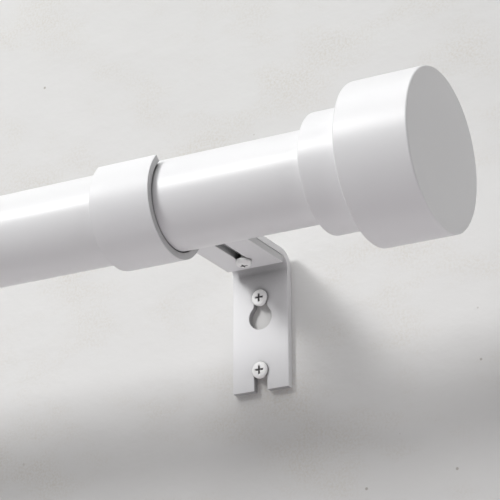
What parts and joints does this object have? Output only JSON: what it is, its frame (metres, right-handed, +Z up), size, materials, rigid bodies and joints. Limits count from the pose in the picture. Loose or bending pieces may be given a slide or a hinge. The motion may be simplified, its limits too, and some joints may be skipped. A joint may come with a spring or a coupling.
{
  "type": "extendable curtain rod",
  "caption": "Telescoping curtain rod with stepped drum finials, carried in cradle hooks on wall brackets whose arms slide in and out to set the distance from the wall.",
  "frame": {"origin": "on the wall, midway between the two wall screws of the right bracket", "axes": "+X along the rod towards its right end, +Y into the wall, +Z up"},
  "size_m": [0.9196, 0.1638, 0.0832],
  "materials": {
    "white_enamel": "satin white powder coat",
    "white_screw": "white lacquered screw",
    "zinc_steel": "bright zinc",
    "white_plastic": "moulded white plastic"
  },
  "bodies": {
    "right_bracket": {"right_wall_plate": "white_enamel", "right_wall_screw_upper": "white_screw", "right_wall_screw_lower": "white_screw"},
    "right_arm_and_tube": {"right_cradle_arm": "white_enamel", "right_clamp_screw": "white_screw", "right_clamp_nut": "zinc_steel", "outer_tube": "white_enamel", "outer_tube_collar": "white_plastic"},
    "left_arm_and_tube": {"left_cradle_arm": "white_enamel", "left_clamp_screw": "white_screw", "left_clamp_nut": "zinc_steel", "inner_tube": "white_enamel", "inner_tube_glide": "white_plastic"},
    "left_bracket": {"left_wall_plate": "white_enamel", "left_wall_screw_upper": "white_screw", "left_wall_screw_lower": "white_screw"},
    "right_finial": {"right_finial": "white_enamel", "right_finial_insert": "white_plastic"},
    "left_finial": {"left_finial": "white_enamel", "left_finial_insert": "white_plastic"}
  },
  "joints": [
    {"name": "right_arm_slide", "type": "slide", "parent": "right_bracket", "child": "right_arm_and_tube", "axis": [0, -1, 0], "range_m": [0, 0.038]},
    {"name": "rod_extend", "type": "slide", "parent": "right_arm_and_tube", "child": "left_arm_and_tube", "axis": [-1, 0, 0], "range_m": [-0.1016, 0.3556]},
    {"name": "left_arm_slide", "type": "slide", "parent": "left_arm_and_tube", "child": "left_bracket", "axis": [0, 1, 0], "range_m": [0, 0.038]},
    {"name": "right_finial_pull", "type": "slide", "parent": "right_arm_and_tube", "child": "right_finial", "axis": [1, 0, 0], "range_m": [0, 0.03]},
    {"name": "left_finial_pull", "type": "slide", "parent": "left_arm_and_tube", "child": "left_finial", "axis": [-1, 0, 0], "range_m": [0, 0.03]}
  ],
  "couplings": [
    {"joint": "left_arm_slide", "follows": "right_arm_slide", "ratio": 1}
  ]
}
